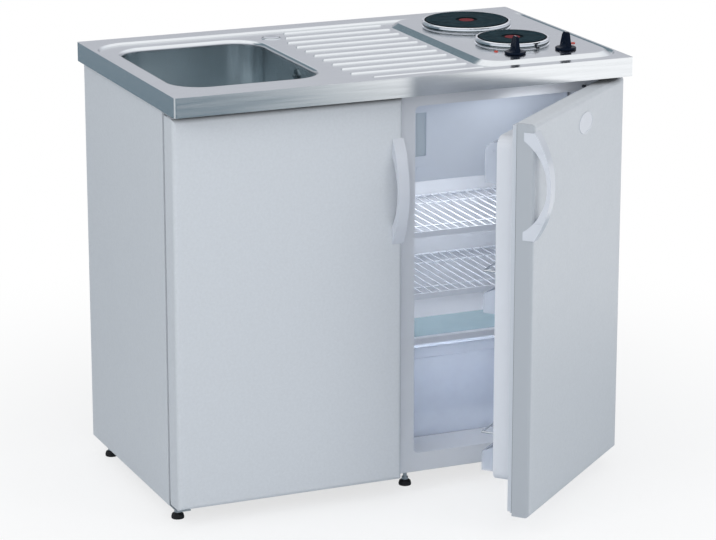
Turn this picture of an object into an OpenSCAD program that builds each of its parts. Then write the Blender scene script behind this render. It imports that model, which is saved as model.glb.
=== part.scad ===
// Kitchenette unit: pressed steel worktop with sink bowl, drainer and two hotplates,
// over a sink cabinet on the left and a built-in refrigerator on the right.
// Millimetres. Origin on the floor under the middle of the worktop, +X right, +Y back, +Z up.
// It is drawn as photographed: sink door shut, refrigerator door standing open by door_open.

/* [Overall size] */
// Width of the worktop
unit_w = 1000; // [980:5:1060]
// Depth of the worktop
unit_d = 600; // [590:2:630]
// Height of the worktop's border above the floor
unit_h = 900; // [890:1:920]
// Ground clearance under both cabinets
foot_h = 35; // [30:1:40]
// Worktop overhang in front of the doors
over_front = 36; // [30:1:40]
// Worktop overhang behind the cabinets
over_back = 20; // [10:1:30]
// Worktop overhang at each side
over_side = 8; // [4:1:14]

/* [Worktop] */
// Thickness of the worktop sheet
top_t = 1; // [0.8:0.1:1.4]
// Height of the turned-down apron
apron_h = 40; // [34:1:44]
// Upright corner radius of the apron
apron_r = 4; // [2:0.5:8]
// Depth of the pressed field under the border
field_d = 4; // [3:0.5:5]
// Flat border behind the pressed field
border_back = 44; // [38:1:50]
// Flat border in front of the pressed field
border_front = 26; // [24:1:28]
// Height of the hob platform above the field
hob_rise = 9; // [6:0.5:11]
// Width of the hob platform's foot
hob_w = 312; // [306:1:316]
// Run of the platform's sloping sides
hob_slope = 14; // [10:1:16]
// Corner radius of the platform's foot
hob_r = 58; // [45:1:64]
// Number of drainer ribs
rib_count = 11; // [9:1:12]
// Radius of a rib's rounded section
rib_r = 5; // [4.5:0.1:5.5]
// How far a rib stands above the field
rib_rise = 3; // [2:0.1:3.4]
// Bore for the tap
tap_bore = 35; // [33:0.5:36]
// Height of the chipboard core's underside above the apron's lower edge
core_up = 1; // [0.5:0.5:3]

/* [Sink bowl] */
// Clear width of the bowl
bowl_w = 309; // [296:1:314]
// Clear length of the bowl, front to back
bowl_l = 406; // [390:1:408]
// Corner radius of the bowl
bowl_r = 65; // [55:1:75]
// Depth of the bowl under the field
bowl_d = 150; // [135:1:165]
// Radius between the bowl's wall and floor
bowl_f = 25; // [18:1:30]
// Rolled lip radius round the bowl
lip_r = 8; // [5:0.5:9]
// Distance from the worktop's left end to the bowl
bowl_in = 48; // [44:1:54]
// Clearance between the bowl's front wall and the rail in front of it
rail_clear = 1; // [0.5:0.5:2]
// Waste outlet pipe diameter
waste_d = 40; // [38:1:44]

/* [Hob] */
// Diameter of the rear hotplate
plate_rear_d = 180; // [170:1:184]
// Diameter of the front hotplate
plate_front_d = 145; // [135:1:150]
// Height of the hotplates above the platform
plate_up = 13; // [11:0.5:16]
// Thickness of a hotplate
plate_t = 9; // [8:0.5:10]
// Width of the bright ring round a hotplate
ring_w = 5; // [4:0.5:6]
// Base diameter of a hob knob
knob_d = 44; // [38:1:46]
// Height of a hob knob
knob_h = 36; // [30:1:38]
// Angle that the right knob's grip is turned by
knob_turn = 10; // [0:1:30]
// Knob shaft diameter
shaft_d = 6; // [5:0.5:7]
// Pilot lamp diameter
pilot_d = 9; // [7:0.5:10]

/* [Cabinets and doors] */
// Sheet thickness of the cabinets
sheet_t = 1.5; // [1.2:0.1:2]
// Width of the refrigerator
fridge_w = 492; // [488:1:494]
// Door thickness, seal included
door_t = 49; // [47:1:50]
// Thickness of the refrigerator door's shell
shell_t = 37; // [36:0.5:38]
// Door skin thickness
skin_t = 1; // [0.8:0.1:1.2]
// Radius of the doors' upright front edges
door_r = 8; // [5:0.5:9]
// Radius of the doors' upper and lower front edges
door_re = 9; // [5:0.5:10]
// Gap between the two doors
door_gap = 3; // [2.5:0.5:5]
// Gap between the apron and the doors
head_gap = 11; // [10:0.5:14]
// Gap between the doors and the cabinets' lower edge
toe_gap = 6; // [5.5:0.5:9]
// Angle at which the refrigerator door stands open
door_open = 41.3; // [30:0.1:44]
// Door pivot, measured in from the cabinet's side
pivot_in = 6; // [5.9:0.1:6.5]
// Door pivot pin diameter
pivot_d = 6; // [5:0.1:6.2]
// Radial clearance of every turning pin
fit = 0.05; // [0.02:0.01:0.08]
// Length of a door handle
grip_l = 220; // [200:1:230]
// How far a handle stands out
grip_out = 35; // [30:1:36]
// Width of a handle
grip_w = 25; // [20:1:28]
// Thickness of a handle's bow
grip_t = 8; // [6:0.5:10]
// Width of the oval plate on the refrigerator door
badge_w = 74; // [60:1:84]
// Height of the oval plate
badge_h = 44; // [36:1:50]
// Distance from the sink door's top down to its handle's middle
grip_down_sink = 190; // [169:1:240]
// Distance from the refrigerator door's top down to its handle's middle
grip_down_fridge = 125; // [119:1:159]

/* [Refrigerator inside] */
// Frame width beside the opening
frame_side = 46; // [44:1:48]
// Frame height above the opening
frame_top = 42; // [40:1:46]
// Frame height under the opening
frame_base = 40; // [38:1:46]
// Depth from the frame to the back wall
cavity_d = 390; // [380:1:396]
// Height of the step over the compressor, above the floor of the cavity
step_h = 213; // [208:1:216]
// Depth of the step over the compressor
step_d = 145; // [140:1:150]
// Wall thickness of the moulded liner
liner_t = 2; // [1.5:0.1:2.5]
// Distance from the frame to the shelf fronts
shelf_in = 90; // [89:1:94]
// Distance from the freezer compartment down to the upper wire shelf
shelf_down = 110; // [102:1:121]
// Distance from the step up to the lower wire shelf
shelf_up = 104; // [92:1:122]
// Wires in a wire shelf
wire_count = 18; // [14:1:20]
// Diameter of a shelf wire
wire_d = 3; // [2.5:0.1:3.5]
// Height of the freezer compartment
freezer_h = 183; // [176:1:186]
// Thickness of the freezer flap
flap_t = 8; // [7:0.5:9]
// Depth of the thermostat's housing, out from the side wall
thermo_out = 30; // [27:1:33]
// Length of the thermostat's housing
thermo_l = 130; // [126:1:140]
// Height of the thermostat's housing
thermo_h = 68; // [62:1:76]
// Diameter of the thermostat's knob
dial_d = 32; // [28:1:36]
// Wall thickness of the crisper
crisper_t = 2.5; // [2:0.1:3]
// Height of the crisper
crisper_h = 198; // [185:1:202]
// Depth of the door liner's raised wall
dyke_d = 53; // [48:1:54]
// Depth that the door racks reach
rack_d = 84; // [80:1:86]
// Width of the door liner's raised wall
dyke_w = 14; // [12:1:16]

/* [Part shown] */
// One sub-part, or all of them

/* [Hidden] */
$fn = 64;
xl = -unit_w / 2;
xr = unit_w / 2;
yf = -unit_d / 2;
yb = unit_d / 2;
apron_z = unit_h - apron_h;
field_z = unit_h - field_d;
hob_z = field_z + hob_rise;
core_z = apron_z + core_up;
// cabinets
cab_x0 = xl + over_side;
cab_x1 = xr - over_side;
split_x = cab_x1 - fridge_w;
door_y0 = yf + over_front;
frame_y = door_y0 + door_t;
cab_y0 = frame_y + 10;
cab_y1 = yb - over_back;
case_y1 = cab_y1 - 18;
door_z0 = foot_h + toe_gap;
door_z1 = apron_z - head_gap;
pivot_y = door_y0 + 22;
pivot_xl = cab_x0 + pivot_in;
pivot_xr = cab_x1 - pivot_in;
// pressed field
fx0 = xl + 13;
fx1 = xr - 9;
fy0 = yf + border_front + field_d;
fy1 = yb - border_back - field_d;
field_rl = 80;
field_rr = 64;
// hob platform
hx1 = xr - 10;
hx0 = hx1 - hob_w;
hy0 = fy0 + 6;
hy1 = fy1 - 6;
// bowl
bx0 = xl + bowl_in;
bx1 = bx0 + bowl_w;
by0 = cab_y0 + sheet_t + top_t + rail_clear;
by1 = by0 + bowl_l;
bowl_xm = (bx0 + bx1) / 2;
bowl_ym = (by0 + by1) / 2;
weld_z = field_z - lip_r - 4;
bowl_z0 = field_z - bowl_d;
spill_y = bowl_ym - 51;
spill_z = field_z - 30;
// drainer ribs
rib_x0 = bx1 + 55;
rib_x1 = hx0 - 17;
rib_ya = fy1 - 27;
rib_yz = fy0 + 13;
rib_step = (rib_ya - rib_yz) / (rib_count - 1);
tap_x = bx1 + 41;
tap_y = fy1 - 56;
// hotplates, knobs and lamps
rear_x = hx0 + 140;
rear_y = yb - 182;
front_x = hx0 + 150;
front_y = yf + 214;
plate_z = hob_z + plate_up;
knob_y = yf + 106;
knob_xl = hx0 + 104;
knob_xr = hx0 + 220;
pilot_xl = hx0 + 76;
pilot_xr = hx0 + 262;
pilot_yl = yf + 138;
pilot_yr = yf + 154;
tray_z0 = core_z + 5;
// refrigerator cavity
op_x0 = split_x + frame_side + 2;
op_x1 = cab_x1 - frame_side;
op_z0 = foot_h + frame_base;
op_z1 = core_z - frame_top;
cav_y1 = frame_y + cavity_d;
step_y = cav_y1 - step_d;
step_z = op_z0 + step_h;
shelf_y0 = frame_y + shelf_in;
cav_r = 12;
flap_z1 = op_z1 - 13;
flap_z0 = op_z1 - freezer_h;
flap_x0 = op_x0 + 6;
flap_x1 = op_x1 - 6;
flap_px = op_x1 - 10;
shelf_hi = flap_z0 - shelf_down;
shelf_lo = step_z + shelf_up;
thermo_x = op_x1 - thermo_out;
thermo_y = shelf_y0 + 60;
thermo_z = flap_z0 - thermo_h - 24;
dial_y = thermo_y + 30;
dial_z = thermo_z + thermo_h / 2;
grip_z_sink = door_z1 - grip_down_sink;
grip_z_fridge = door_z1 - grip_down_fridge;
flap_y0 = shelf_y0;
flap_py = flap_y0 + flap_t / 2;
machine_y0 = step_y + 30;
machine_z1 = step_z - 38;
// refrigerator door, drawn shut and then turned about its pivot
fd_x0 = split_x + 0.5 + door_gap - 1.5;
sd_x1 = split_x + 0.5 - 1.5;
shell_y1 = door_y0 + shell_t;
plate_y1 = shell_y1 + 0.5;
dk_x0 = op_x0 + 9;
dk_x1 = op_x1 - 9;
dk_z0 = op_z0 + 14;
dk_z1 = op_z1 - 16;
dk_y1 = frame_y + dyke_d;
rk_y1 = frame_y + rack_d;
rk_x0 = dk_x0 + dyke_w;
rk_x1 = dk_x1 - dyke_w;
dairy_z0 = dk_z1 - dyke_w - 84;
dairy_z1 = dk_z1 - dyke_w - 1;
lid_py = rk_y1 - 19;
lid_pz = dairy_z1 - 8;
foot_y0 = cab_y0 + 16;
foot_y1 = case_y1 - 32;
foot_x = [cab_x0 + 24, split_x + 40, cab_x1 - 24];

// ---- building blocks ----

module box(x0, x1, y0, y1, z0, z1)
  translate([x0, y0, z0])
    cube([x1 - x0, y1 - y0, z1 - z0]);

// block with its four upright edges rounded
module upright(x0, x1, y0, y1, z0, z1, r) {
  box(x0 + r, x1 - r, y0, y1, z0, z1);
  box(x0, x1, y0 + r, y1 - r, z0, z1);
  for (x = [x0 + r, x1 - r], y = [y0 + r, y1 - r])
    translate([x, y, z0])
      cylinder(r = r, h = z1 - z0);
}

// block with the four edges that run front to back rounded
module lying(x0, x1, y0, y1, z0, z1, r) {
  box(x0 + r, x1 - r, y0, y1, z0, z1);
  box(x0, x1, y0, y1, z0 + r, z1 - r);
  for (x = [x0 + r, x1 - r], z = [z0 + r, z1 - r])
    translate([x, y1, z])
      rotate([90, 0, 0])
        cylinder(r = r, h = y1 - y0);
}

// cylinders along the three axes, from a to b
module rod_x(a, b, y, z, r)
  translate([a, y, z])
    rotate([0, 90, 0])
      cylinder(r = r, h = b - a);

module rod_y(x, a, b, z, r)
  translate([x, b, z])
    rotate([90, 0, 0])
      cylinder(r = r, h = b - a);

module rod_z(x, y, a, b, r)
  translate([x, y, a])
    cylinder(r = r, h = b - a);

// a (y, z) outline drawn out along X
module along_x(x0, x1, points)
  translate([x0, 0, 0])
    rotate([90, 0, 90])
      linear_extrude(height = x1 - x0)
        polygon(points);

// platform with sloping sides: foot x0..x1 by y0..y1 at z0, sides run in by s up to z1
module platform(x0, x1, y0, y1, z0, z1, rl, rr, s) {
  xm = (x0 + x1) / 2;
  translate([0, y1 - rl, 0])
    rotate([90, 0, 0])
      linear_extrude(height = y1 - y0 - 2 * rl)
        polygon([[x0, z0], [xm, z0], [xm, z1], [x0 + s, z1]]);
  translate([0, y1 - rr, 0])
    rotate([90, 0, 0])
      linear_extrude(height = y1 - y0 - 2 * rr)
        polygon([[xm, z0], [x1, z0], [x1 - s, z1], [xm, z1]]);
  translate([x0 + rl, 0, 0])
    rotate([90, 0, 90])
      linear_extrude(height = x1 - x0 - rl - rr)
        polygon([[y0, z0], [y1, z0], [y1 - s, z1], [y0 + s, z1]]);
  for (y = [y0 + rl, y1 - rl])
    translate([x0 + rl, y, z0])
      cylinder(r1 = rl, r2 = rl - s, h = z1 - z0);
  for (y = [y0 + rr, y1 - rr])
    translate([x1 - rr, y, z0])
      cylinder(r1 = rr, r2 = rr - s, h = z1 - z0);
}

// carries a (outward, up) outline round a rounded rectangle whose inner line is x0..x1 by y0..y1
module round_rim(x0, x1, y0, y1, r) {
  translate([x1, y1 - r, 0])
    rotate([90, 0, 0])
      linear_extrude(height = y1 - y0 - 2 * r)
        children();
  translate([x0, y0 + r, 0])
    rotate([90, 0, 180])
      linear_extrude(height = y1 - y0 - 2 * r)
        children();
  translate([x0 + r, y1, 0])
    rotate([90, 0, 90])
      linear_extrude(height = x1 - x0 - 2 * r)
        children();
  translate([x1 - r, y0, 0])
    rotate([90, 0, -90])
      linear_extrude(height = x1 - x0 - 2 * r)
        children();
  for (c = [[x1 - r, y1 - r, 0], [x0 + r, y1 - r, 90], [x0 + r, y0 + r, 180], [x1 - r, y0 + r, 270]])
    translate([c[0], c[1], 0])
      rotate([0, 0, c[2]])
        rotate_extrude(angle = 90)
          translate([r, 0])
            children();
}

// turns the refrigerator door's pieces from shut to the photographed angle
module door_swing()
  translate([pivot_xr, pivot_y, 0])
    rotate([0, 0, door_open])
      translate([-pivot_xr, -pivot_y, 0])
        children();

// ---- worktop ----

// everything under the surface that lies t below the worktop's upper side
module top_form(t) {
  k = hob_slope / hob_rise;
  difference() {
    upright(xl + t, xr - t, yf + t, yb - t, apron_z - t, unit_h - t, max(apron_r - t, 0.4));
    translate([0, 0, unit_h - t + 1])
      mirror([0, 0, 1])
        platform(fx0 - field_d - 1 - t / 2, fx1 + field_d + 1 + t / 2, fy0 - field_d - 1 - t / 2,
          fy1 + field_d + 1 + t / 2, 0, field_d + 1, field_rl, field_rr, field_d + 1);
  }
  platform(hx0 - k * 3 + t / 2, hx1 + k * 3 - t / 2, hy0 - k * 3 + t / 2, hy1 + k * 3 - t / 2,
    field_z - 3 - t, hob_z - t, hob_r + k * 3, hob_r + k * 3, hob_slope + k * 3);
  for (i = [0:rib_count - 1])
    drainer_rib(i, rib_r - t);
}

// the rearmost rib starts right of the tap hole, the foremost one right of the bowl's corner
module drainer_rib(i, r) {
  x0 = i == 0 ? rib_x0 + 30 : i == 1 ? rib_x0 + 14 : i == rib_count - 1 ? rib_x0 + 28 : rib_x0;
  x1 = i == rib_count - 1 ? rib_x1 + 16 : rib_x1;
  y = rib_ya - i * rib_step;
  z = field_z + rib_rise - rib_r;
  rod_x(x0, x1, y, z, r);
  for (x = [x0, x1])
    translate([x, y, z])
      sphere(r = r);
}

module worktop() color([0.72, 0.74, 0.76]) {
  difference() {
    top_form(0);
    top_form(top_t);
    upright(bx0 - lip_r, bx1 + lip_r, by0 - lip_r, by1 + lip_r, field_z - 9, unit_h + 9, bowl_r + lip_r);
    rod_z(tap_x, tap_y, field_z - 9, unit_h + 9, tap_bore / 2);
    rod_z(rear_x, rear_y, hob_z - 9, hob_z + 9, plate_rear_d / 2 - 14);
    rod_z(front_x, front_y, hob_z - 9, hob_z + 9, plate_front_d / 2 - 14);
    for (x = [knob_xl, knob_xr])
      rod_z(x, knob_y, hob_z - 9, hob_z + 9, shaft_d / 2 + 2);
    rod_z(pilot_xl, pilot_yl, hob_z - 9, hob_z + 9, pilot_d / 2 - 1);
    rod_z(pilot_xr, pilot_yr, hob_z - 9, hob_z + 9, pilot_d / 2 - 1);
  }
  round_rim(bx0, bx1, by0, by1, bowl_r)
    lip_outline();
}

// rolled lip: a quarter ring that ends in a short collar, on which the bowl is welded
module lip_outline() {
  translate([lip_r, field_z - lip_r])
    intersection() {
      difference() {
        circle(r = lip_r);
        circle(r = lip_r - top_t);
      }
      translate([-lip_r, 0])
        square(lip_r);
    }
  translate([0, weld_z])
    square([top_t, field_z - lip_r - weld_z]);
}

module worktop_core() color([0.78, 0.66, 0.5])
  difference() {
    upright(xl + top_t, xr - top_t, yf + top_t, yb - top_t, core_z, field_z - top_t,
      max(apron_r - top_t, 0.4));
    upright(bx0 - 12, bx1 + 12, by0 - 12, by1 + 12, core_z - 1, unit_h, bowl_r + 12);
    rod_z(tap_x, tap_y, core_z - 1, unit_h, tap_bore / 2 + 6);
    box(hx0 + 16, hx1 - 12, hy0 + 14, hy1 - 14, core_z - 1, unit_h);
  }

module bowl() color([0.68, 0.71, 0.73]) {
  difference() {
    union() {
      round_rim(bx0, bx1, by0, by1, bowl_r) {
        union() {
          translate([0, bowl_z0 + bowl_f])
            square([top_t, weld_z - bowl_z0 - bowl_f]);
          translate([-bowl_f, bowl_z0 + bowl_f])
            intersection() {
              difference() {
                circle(r = bowl_f + top_t);
                circle(r = bowl_f);
              }
              translate([0, -bowl_f - top_t])
                square(bowl_f + top_t);
            }
        }
      }
      upright(bx0 + bowl_f, bx1 - bowl_f, by0 + bowl_f, by1 - bowl_f, bowl_z0 - top_t, bowl_z0,
        bowl_r - bowl_f);
    }
    rod_z(bowl_xm, bowl_ym, bowl_z0 - 9, bowl_z0 + 9, 24);
    rod_x(bx1 - 5, bx1 + 5, spill_y, spill_z, 10);
  }
}

module overflow_rosette() color([0.8, 0.81, 0.83]) {
  difference() {
    rod_x(bx1 - 2.5, bx1, spill_y, spill_z, 14);
    for (a = [0:60:300])
      rod_x(bx1 - 3, bx1 + 1, spill_y + 7 * cos(a), spill_z + 7 * sin(a), 2);
  }
  rod_x(bx1 - 7, bx1 - 2.5, spill_y, spill_z, 2.5);
  rod_x(bx1 - 9, bx1 - 7, spill_y, spill_z, 4);
}

module overflow_pipe() color([0.85, 0.85, 0.84]) {
  px = bx1 + 9.5;
  pz = bowl_z0 - 22;
  difference() {
    union() {
      box(bx1 + top_t, bx1 + 11, spill_y - 15, spill_y + 15, spill_z - 15, spill_z + 15);
      rod_z(px, spill_y, pz, spill_z - 14, 7);
      translate([px, spill_y, pz])
        sphere(r = 7);
      rod_y(px, spill_y, bowl_ym, pz, 7);
      translate([px, bowl_ym, pz])
        sphere(r = 7);
      rod_x(bowl_xm + 24, px, bowl_ym, pz, 7);
    }
    rod_x(bx1, bx1 + 9, spill_y, spill_z, 10);
    rod_z(bowl_xm, bowl_ym, pz - 20, pz + 20, 27.6);
  }
}

module drain_flange() color([0.8, 0.81, 0.83])
  translate([bowl_xm, bowl_ym, bowl_z0]) {
    rotate_extrude()
      polygon([[20, -28], [23.4, -28], [23.4, 0], [35, 0], [34, 1.5], [22, 1.5], [20, -1]]);
    for (a = [0, 90])
      rotate([0, 0, a])
        box(-20.5, 20.5, -1.5, 1.5, -27, -23);
  }

module sink_plug() color([0.12, 0.12, 0.13])
  translate([bowl_xm, bowl_ym, bowl_z0])
    rotate_extrude()
      polygon([[0, -14], [17, -14], [19.4, 0], [19.6, 1.5], [24, 1.5], [24, 4.5], [4, 5], [3.5, 9],
        [6, 12], [6, 14], [0, 14]]);

module drain_body() color([0.86, 0.86, 0.85])
  translate([bowl_xm, bowl_ym, bowl_z0 - top_t])
    rotate_extrude()
      polygon([[24, 0], [34, 0], [34, -5], [27, -5], [27, -38], [20, -46], [20, -56], [16, -56],
        [16, -44], [24, -35]]);

module waste_trap() color([0.86, 0.86, 0.85]) {
  zt = bowl_z0 - top_t - 56;
  ro = waste_d / 2;
  difference() {
    union() {
      translate([bowl_xm, bowl_ym, 0])
        rotate_extrude()
          polygon([[16, zt], [24, zt], [24, zt - 18], [20, zt - 20], [20, zt - 50], [33, zt - 50],
            [34, zt - 54], [34, zt - 68], [31, zt - 70], [31, zt - 130], [24, zt - 140],
            [0, zt - 140], [0, zt - 137], [22, zt - 137], [28, zt - 128], [28, zt - 56],
            [20, zt - 56], [20, zt - 110], [16, zt - 110]]);
      difference() {
        union() {
          rod_y(bowl_xm, bowl_ym + 20, cab_y1 - 30, zt - 90, ro);
          rod_y(bowl_xm, bowl_ym + 26, bowl_ym + 50, zt - 90, ro + 5);
        }
        rod_z(bowl_xm, bowl_ym, zt - 140, zt - 40, 29.5);
      }
    }
    rod_y(bowl_xm, bowl_ym + 24, cab_y1 - 29, zt - 90, ro - 2);
  }
}

module tap_hole_cap() color([0.8, 0.81, 0.83])
  translate([tap_x, tap_y, field_z])
    rotate_extrude()
      polygon([[0, 3], [14, 2.6], [tap_bore / 2 + 4, 1], [tap_bore / 2 + 4.5, 0],
        [tap_bore / 2 - 0.4, 0], [tap_bore / 2 - 1, -10], [tap_bore / 2 - 2.5, -10],
        [tap_bore / 2 - 2.5, 0], [0, 0.5]]);

// ---- hob ----

module hotplate(d) {
  r = d / 2;
  b = plate_z - plate_t;
  rotate_extrude()
    polygon([[0, b], [r - 6, b], [r, b + 3], [r, plate_z - 1], [r - 1, plate_z], [r - 12, plate_z],
      [r - 12.6, plate_z - 0.5], [r - 13.4, plate_z - 0.5], [r - 14, plate_z], [23, plate_z],
      [21.5, plate_z - 1.5], [0, plate_z - 1.5]]);
}

module hotplate_rear() color([0.1, 0.11, 0.12])
  translate([rear_x, rear_y, 0])
    hotplate(plate_rear_d);

module hotplate_front() color([0.1, 0.11, 0.12])
  translate([front_x, front_y, 0])
    hotplate(plate_front_d);

module hotplate_ring(d) {
  r = d / 2;
  b = plate_z - plate_t;
  w = ring_w;
  rotate_extrude()
    polygon([[r - 12, hob_z], [r + w + 2, hob_z], [r + w + 2, hob_z + 1.2], [r + w - 0.5, hob_z + 2],
      [r + w - 1.5, hob_z + 4], [r + w - 0.5, hob_z + 6], [r + w, plate_z - 4], [r + w, plate_z - 2],
      [r + w - 1, plate_z - 1], [r + 0.6, plate_z - 1], [r + 0.6, b + 2.7], [r - 5, b], [r - 12, b]]);
}

module hotplate_rings() color([0.85, 0.86, 0.88]) {
  translate([rear_x, rear_y, 0])
    hotplate_ring(plate_rear_d);
  translate([front_x, front_y, 0])
    hotplate_ring(plate_front_d);
}

module hotplate_dots() color([0.62, 0.2, 0.2])
  for (c = [[rear_x, rear_y], [front_x, front_y]])
    rod_z(c[0], c[1], plate_z - 1.5, plate_z - 1, 16);

module hotplate_clamps() color([0.6, 0.61, 0.62])
  for (c = [[rear_x, rear_y, plate_rear_d / 2 - 6], [front_x, front_y, plate_front_d / 2 - 6]]) {
    z = hob_z - top_t;
    box(c[0] - c[2], c[0] + c[2], c[1] - 10, c[1] + 10, z - 3, z);
    rod_z(c[0], c[1], z - 12, plate_z - plate_t, 4);
    translate([c[0], c[1], z - 9.5])
      cylinder(r = 7.5, h = 6.5, $fn = 6);
  }

module hob_tray() color([0.7, 0.71, 0.72])
  difference() {
    upright(hx0 + 20, hx1 - 16, hy0 + 18, hy1 - 18, tray_z0, hob_z - top_t, 38);
    upright(hx0 + 21, hx1 - 17, hy0 + 19, hy1 - 19, tray_z0 + 1, hob_z, 37);
  }

module hob_switches() color([0.85, 0.84, 0.8])
  for (x = [knob_xl, knob_xr])
    difference() {
      box(x - 20, x + 20, knob_y - 20, knob_y + 20, hob_z - top_t - 30, hob_z - top_t);
      rod_z(x, knob_y, hob_z - 40, hob_z, shaft_d / 2 + fit);
    }

// flared skirt, upright grip that tapers both ways, and stub shaft
module hob_knob(x, turn) {
  r = knob_d / 2;
  h = knob_h;
  flare = [for (a = [0:15:90]) [7.5 + (r - 9) * (1 - sin(a)), 4.6 + (0.4 * h - 4.6) * (1 - cos(a))]];
  translate([x, knob_y, hob_z + 0.6])
    rotate([0, 0, turn]) {
      rotate_extrude()
        polygon(concat([[0, 0], [r - 0.6, 0], [r, 0.8], [r, 3]], flare, [[0, 0.4 * h]]));
      intersection() {
        rotate([90, 0, 0])
          linear_extrude(height = 1.2 * r, center = true)
            polygon([[-6, 4], [6, 4], [4.6, 0.4 * h], [2.9, h - 2], [2, h], [-2, h], [-2.9, h - 2],
              [-4.6, 0.4 * h]]);
        rotate([90, 0, 90])
          linear_extrude(height = r, center = true)
            polygon([[-0.6 * r, 4], [0.6 * r, 4], [0.55 * r, 0.4 * h], [0.4 * r, h - 6], [0.3 * r, h - 2],
              [0.2 * r, h], [-0.34 * r, h], [-0.44 * r, h - 2], [-0.55 * r, 0.4 * h]]);
      }
      rod_z(0, 0, -26, 1, shaft_d / 2);
    }
}

module hob_knob_left() color([0.09, 0.09, 0.1]) hob_knob(knob_xl, 0);

module hob_knob_right() color([0.09, 0.09, 0.1]) hob_knob(knob_xr, knob_turn);

module pilot_lamps() color([0.85, 0.25, 0.12])
  for (c = [[pilot_xl, pilot_yl], [pilot_xr, pilot_yr]])
    translate([c[0], c[1], hob_z])
      rotate_extrude()
        polygon([[0, -9], [pilot_d / 2 - 1.4, -9], [pilot_d / 2 - 1.4, 0], [pilot_d / 2, 0],
          [pilot_d / 2, 1], [pilot_d / 2 - 1.5, 2.2], [0, 2.8]]);

// ---- sink cabinet ----

// outer wall with its folded edges; dir is 1 for the left one and -1 for the right one
module cabinet_side(x, dir) {
  module fold(w, y0, y1, z0, z1)
    box(min(x, x + dir * w), max(x, x + dir * w), y0, y1, z0, z1);
  fold(sheet_t, cab_y0, cab_y1, foot_h, core_z);
  fold(30, cab_y0, cab_y0 + sheet_t, foot_h, core_z);
  fold(22, cab_y1 - sheet_t, cab_y1, foot_h, core_z);
  fold(25, cab_y0, cab_y1, core_z - sheet_t, core_z);
  fold(46, cab_y0, cab_y1, foot_h, foot_h + sheet_t);
}

module cabinet_side_left() color([0.8, 0.82, 0.86]) cabinet_side(cab_x0, 1);

module cabinet_side_right() color([0.8, 0.82, 0.86]) cabinet_side(split_x, -1);

module cabinet_floor() color([0.8, 0.82, 0.86]) {
  s = sheet_t;
  box(cab_x0 + s, split_x - s, cab_y0 + s, cab_y1 - s, foot_h + 26, foot_h + 26 + s);
  box(cab_x0 + s, split_x - s, cab_y0 + s, cab_y0 + 2 * s, foot_h + s, foot_h + 26);
  box(cab_x0 + s, split_x - s, cab_y1 - 2 * s, cab_y1 - s, foot_h + s, foot_h + 60);
}

module cabinet_rails() color([0.8, 0.82, 0.86]) {
  s = sheet_t;
  box(cab_x0 + 30, split_x - 30, cab_y0, cab_y0 + s, core_z - 30, core_z);
  box(cab_x0 + 30, split_x - 30, cab_y0 - 4, cab_y0, core_z - 30, core_z - 30 + s);
  box(cab_x0 + 22, split_x - 22, cab_y1 - s, cab_y1, core_z - 80, core_z - s);
  box(cab_x0 + 25, split_x - 25, cab_y1 - 24, cab_y1, core_z - s, core_z);
}

// ---- doors ----

// door body with rounded front edges: r at the upright ones, re at the upper and lower ones
module door_body(x0, x1, y0, y1, z0, z1, r, re)
  intersection() {
    union() {
      box(x0, x1, y0 + r, y1, z0, z1);
      box(x0 + r, x1 - r, y0, y1, z0, z1);
      for (x = [x0 + r, x1 - r])
        rod_z(x, y0 + r, z0, z1, r);
    }
    union() {
      box(x0, x1, y0 + re, y1, z0, z1);
      box(x0, x1, y0, y1, z0 + re, z1 - re);
      for (z = [z0 + re, z1 - re])
        rod_x(x0, x1, y0 + re, z, re);
    }
  }

module door_skin(x0, x1, y1, px)
  difference() {
    door_body(x0, x1, door_y0, y1, door_z0, door_z1, door_r, door_re);
    door_body(x0 + skin_t, x1 - skin_t, door_y0 + skin_t, y1 + 1, door_z0 + skin_t, door_z1 - skin_t,
      door_r - skin_t, door_re - skin_t);
    rod_z(px, pivot_y, door_z0 - 1, door_z1 + 1, pivot_d / 2 + 1.9);
  }

// nylon bearings in the door's top and bottom edge; side points away from the cabinet's middle
module door_bushes(px, side)
  for (e = [[door_z1, 1], [door_z0, -1]])
    translate([px, pivot_y, e[0]])
      scale([side, 1, e[1]])
        difference() {
          union() {
            box(-10, pivot_d / 2 + 1.5, -12, 12, 0, 1.5);
            rod_z(0, 0, -13, 1, pivot_d / 2 + 1.5);
          }
          rod_z(0, 0, -14, 2, pivot_d / 2 + fit);
        }

// arched bow on two solid feet, with a flange round the door's free edge at x; dir points into the door
module door_grip(x, dir, zm) {
  r1 = (grip_l * grip_l / 4 + grip_out * grip_out) / (2 * grip_out);
  h2 = grip_l / 2 - 38;
  s2 = grip_out - grip_t;
  r2 = (h2 * h2 + s2 * s2) / (2 * s2);
  translate([x, door_y0, zm])
    scale([dir, 1, 1])
      difference() {
        union() {
          intersection() {
            rod_x(-1, grip_w - 1, r1 - grip_out, 0, r1);
            box(-2, grip_w + 2, -grip_out - 2, 0, -grip_l / 2, grip_l / 2);
          }
          box(-1, 0, -0.5, 22, -grip_l / 2 + 2, grip_l / 2 - 2);
          difference() {
            box(-1, door_r, -0.5, door_r, -grip_l / 2 + 2, grip_l / 2 - 2);
            box(-2, door_r + 1, -grip_out - 2, door_r + 1, -h2, h2);
            rod_z(door_r, door_r, -grip_l, grip_l, door_r);
          }
          for (z = [-grip_l / 2 + 26, grip_l / 2 - 26])
            rod_x(-1.4, -0.5, 15, z, 4);
        }
        rod_x(-3, grip_w + 1, r2 - s2, 0, r2);
        box(-3, 0.5, -grip_out, -0.2, -h2, h2);
      }
}

module sink_door_skin() color([0.8, 0.82, 0.86]) door_skin(cab_x0, sd_x1, frame_y, pivot_xl);

module sink_door_back() color([0.84, 0.86, 0.89])
  box(cab_x0 + skin_t, sd_x1 - skin_t, frame_y - 1.2, frame_y, door_z0 + skin_t, door_z1 - skin_t);

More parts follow.
